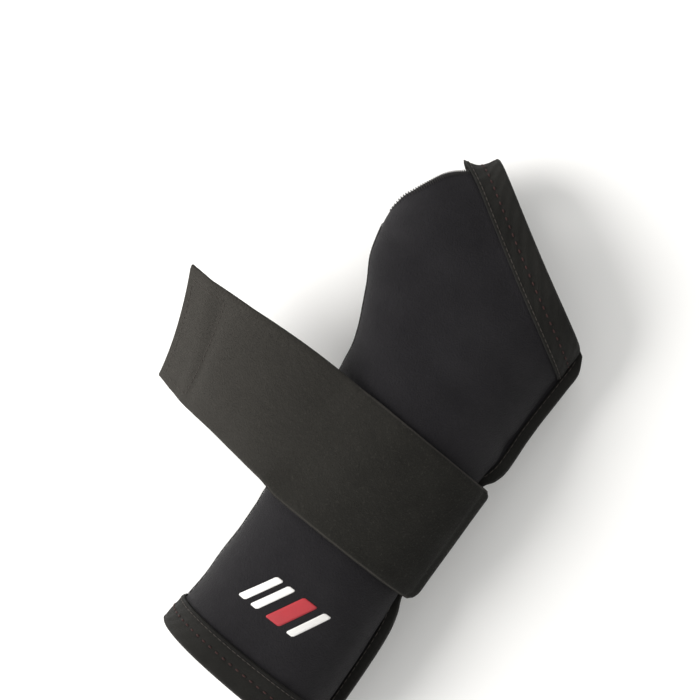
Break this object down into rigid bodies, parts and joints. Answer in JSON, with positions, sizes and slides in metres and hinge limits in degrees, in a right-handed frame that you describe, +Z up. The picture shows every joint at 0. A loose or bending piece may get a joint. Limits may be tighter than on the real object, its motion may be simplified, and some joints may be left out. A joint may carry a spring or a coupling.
{
  "type": "wrist support brace",
  "caption": "Neoprene wrist support sleeve for the right hand with a thumb hole, bound openings and a wide elastic strap that wraps the wrist and closes with a hook patch.",
  "frame": {"origin": "point on the surface the brace lies on, straight under the middle of the wrist", "axes": "+Z up from the palm side to the back of the hand, +Y along the forearm towards the fingers, +X towards the little-finger side"},
  "size_m": [0.1387, 0.2174, 0.0568],
  "materials": {
    "neoprene_face": "black knit nylon face on foam rubber sheet",
    "binding_tape": "black woven tape, matt",
    "elastic_loop": "black brushed loop elastic, matt",
    "hook_tape": "black moulded hook tape",
    "black_thread": "black polyester thread",
    "dull_red_thread": "dull dark red polyester thread",
    "white_print": "white rubber ink",
    "red_print": "red rubber ink"
  },
  "bodies": {
    "sleeve": {"dorsal_panel": "neoprene_face", "palmar_panel": "neoprene_face", "radial_flat_seam": "black_thread", "ulnar_binding": "binding_tape", "ulnar_binding_stitching": "black_thread", "hand_opening_binding": "binding_tape", "hand_binding_edge_stitching": "black_thread", "hand_binding_centre_stitching": "dull_red_thread", "forearm_opening_binding": "binding_tape", "forearm_binding_edge_stitching": "black_thread", "forearm_binding_centre_stitching": "dull_red_thread", "thumb_opening_overlock": "black_thread", "strap_palmar_run": "elastic_loop", "strap_anchor_stitching": "black_thread", "print_bars_white": "white_print", "print_bar_red": "red_print"},
    "strap_back": {"strap_dorsal_run": "elastic_loop"},
    "strap_side_a": {"strap_side_run_1": "elastic_loop"},
    "strap_side_b": {"strap_side_run_2": "elastic_loop"},
    "strap_side_c": {"strap_side_run_3": "elastic_loop"},
    "strap_side_d": {"strap_side_run_4": "elastic_loop"},
    "strap_end": {"strap_tip": "elastic_loop", "hook_patch": "hook_tape", "hook_patch_stitching": "black_thread"}
  },
  "joints": [
    {"name": "strap_lift", "type": "hinge", "parent": "sleeve", "child": "strap_back", "pos_m": [0.03772, -0.00305, 0.03465], "axis": [-0.0012, 0.9999, -0.0147], "range_deg": [0, 120]},
    {"name": "strap_wrap", "type": "hinge", "parent": "strap_back", "child": "strap_side_a", "pos_m": [-0.02597, 0.00026, 0.04892], "axis": [-0.0718, -0.9973, 0.0128], "range_deg": [0, 35.6]},
    {"name": "strap_wrap_b", "type": "hinge", "parent": "strap_side_a", "child": "strap_side_b", "pos_m": [-0.03898, 0.00117, 0.04686], "axis": [-0.1418, -0.9898, -0.0164], "range_deg": [0, 36.75]},
    {"name": "strap_wrap_c", "type": "hinge", "parent": "strap_side_b", "child": "strap_side_c", "pos_m": [-0.05201, 0.00208, 0.04502], "axis": [-0.3353, -0.9085, -0.2494], "range_deg": [0, 28.6]},
    {"name": "strap_wrap_d", "type": "hinge", "parent": "strap_side_c", "child": "strap_side_d", "pos_m": [-0.06502, 0.00299, 0.04295], "axis": [-0.4045, -0.7924, -0.4566], "range_deg": [0, 24.86]},
    {"name": "strap_wrap_end", "type": "hinge", "parent": "strap_side_d", "child": "strap_end", "pos_m": [-0.0779, 0.00389, 0.04021], "axis": [-0.1252, -0.8138, -0.5675], "range_deg": [0, 43.97]}
  ],
  "couplings": [
    {"joint": "strap_wrap_b", "follows": "strap_wrap", "ratio": 1.0268},
    {"joint": "strap_wrap_c", "follows": "strap_wrap", "ratio": 0.79767},
    {"joint": "strap_wrap_d", "follows": "strap_wrap", "ratio": 0.69266},
    {"joint": "strap_wrap_end", "follows": "strap_wrap", "ratio": 1.2296}
  ]
}
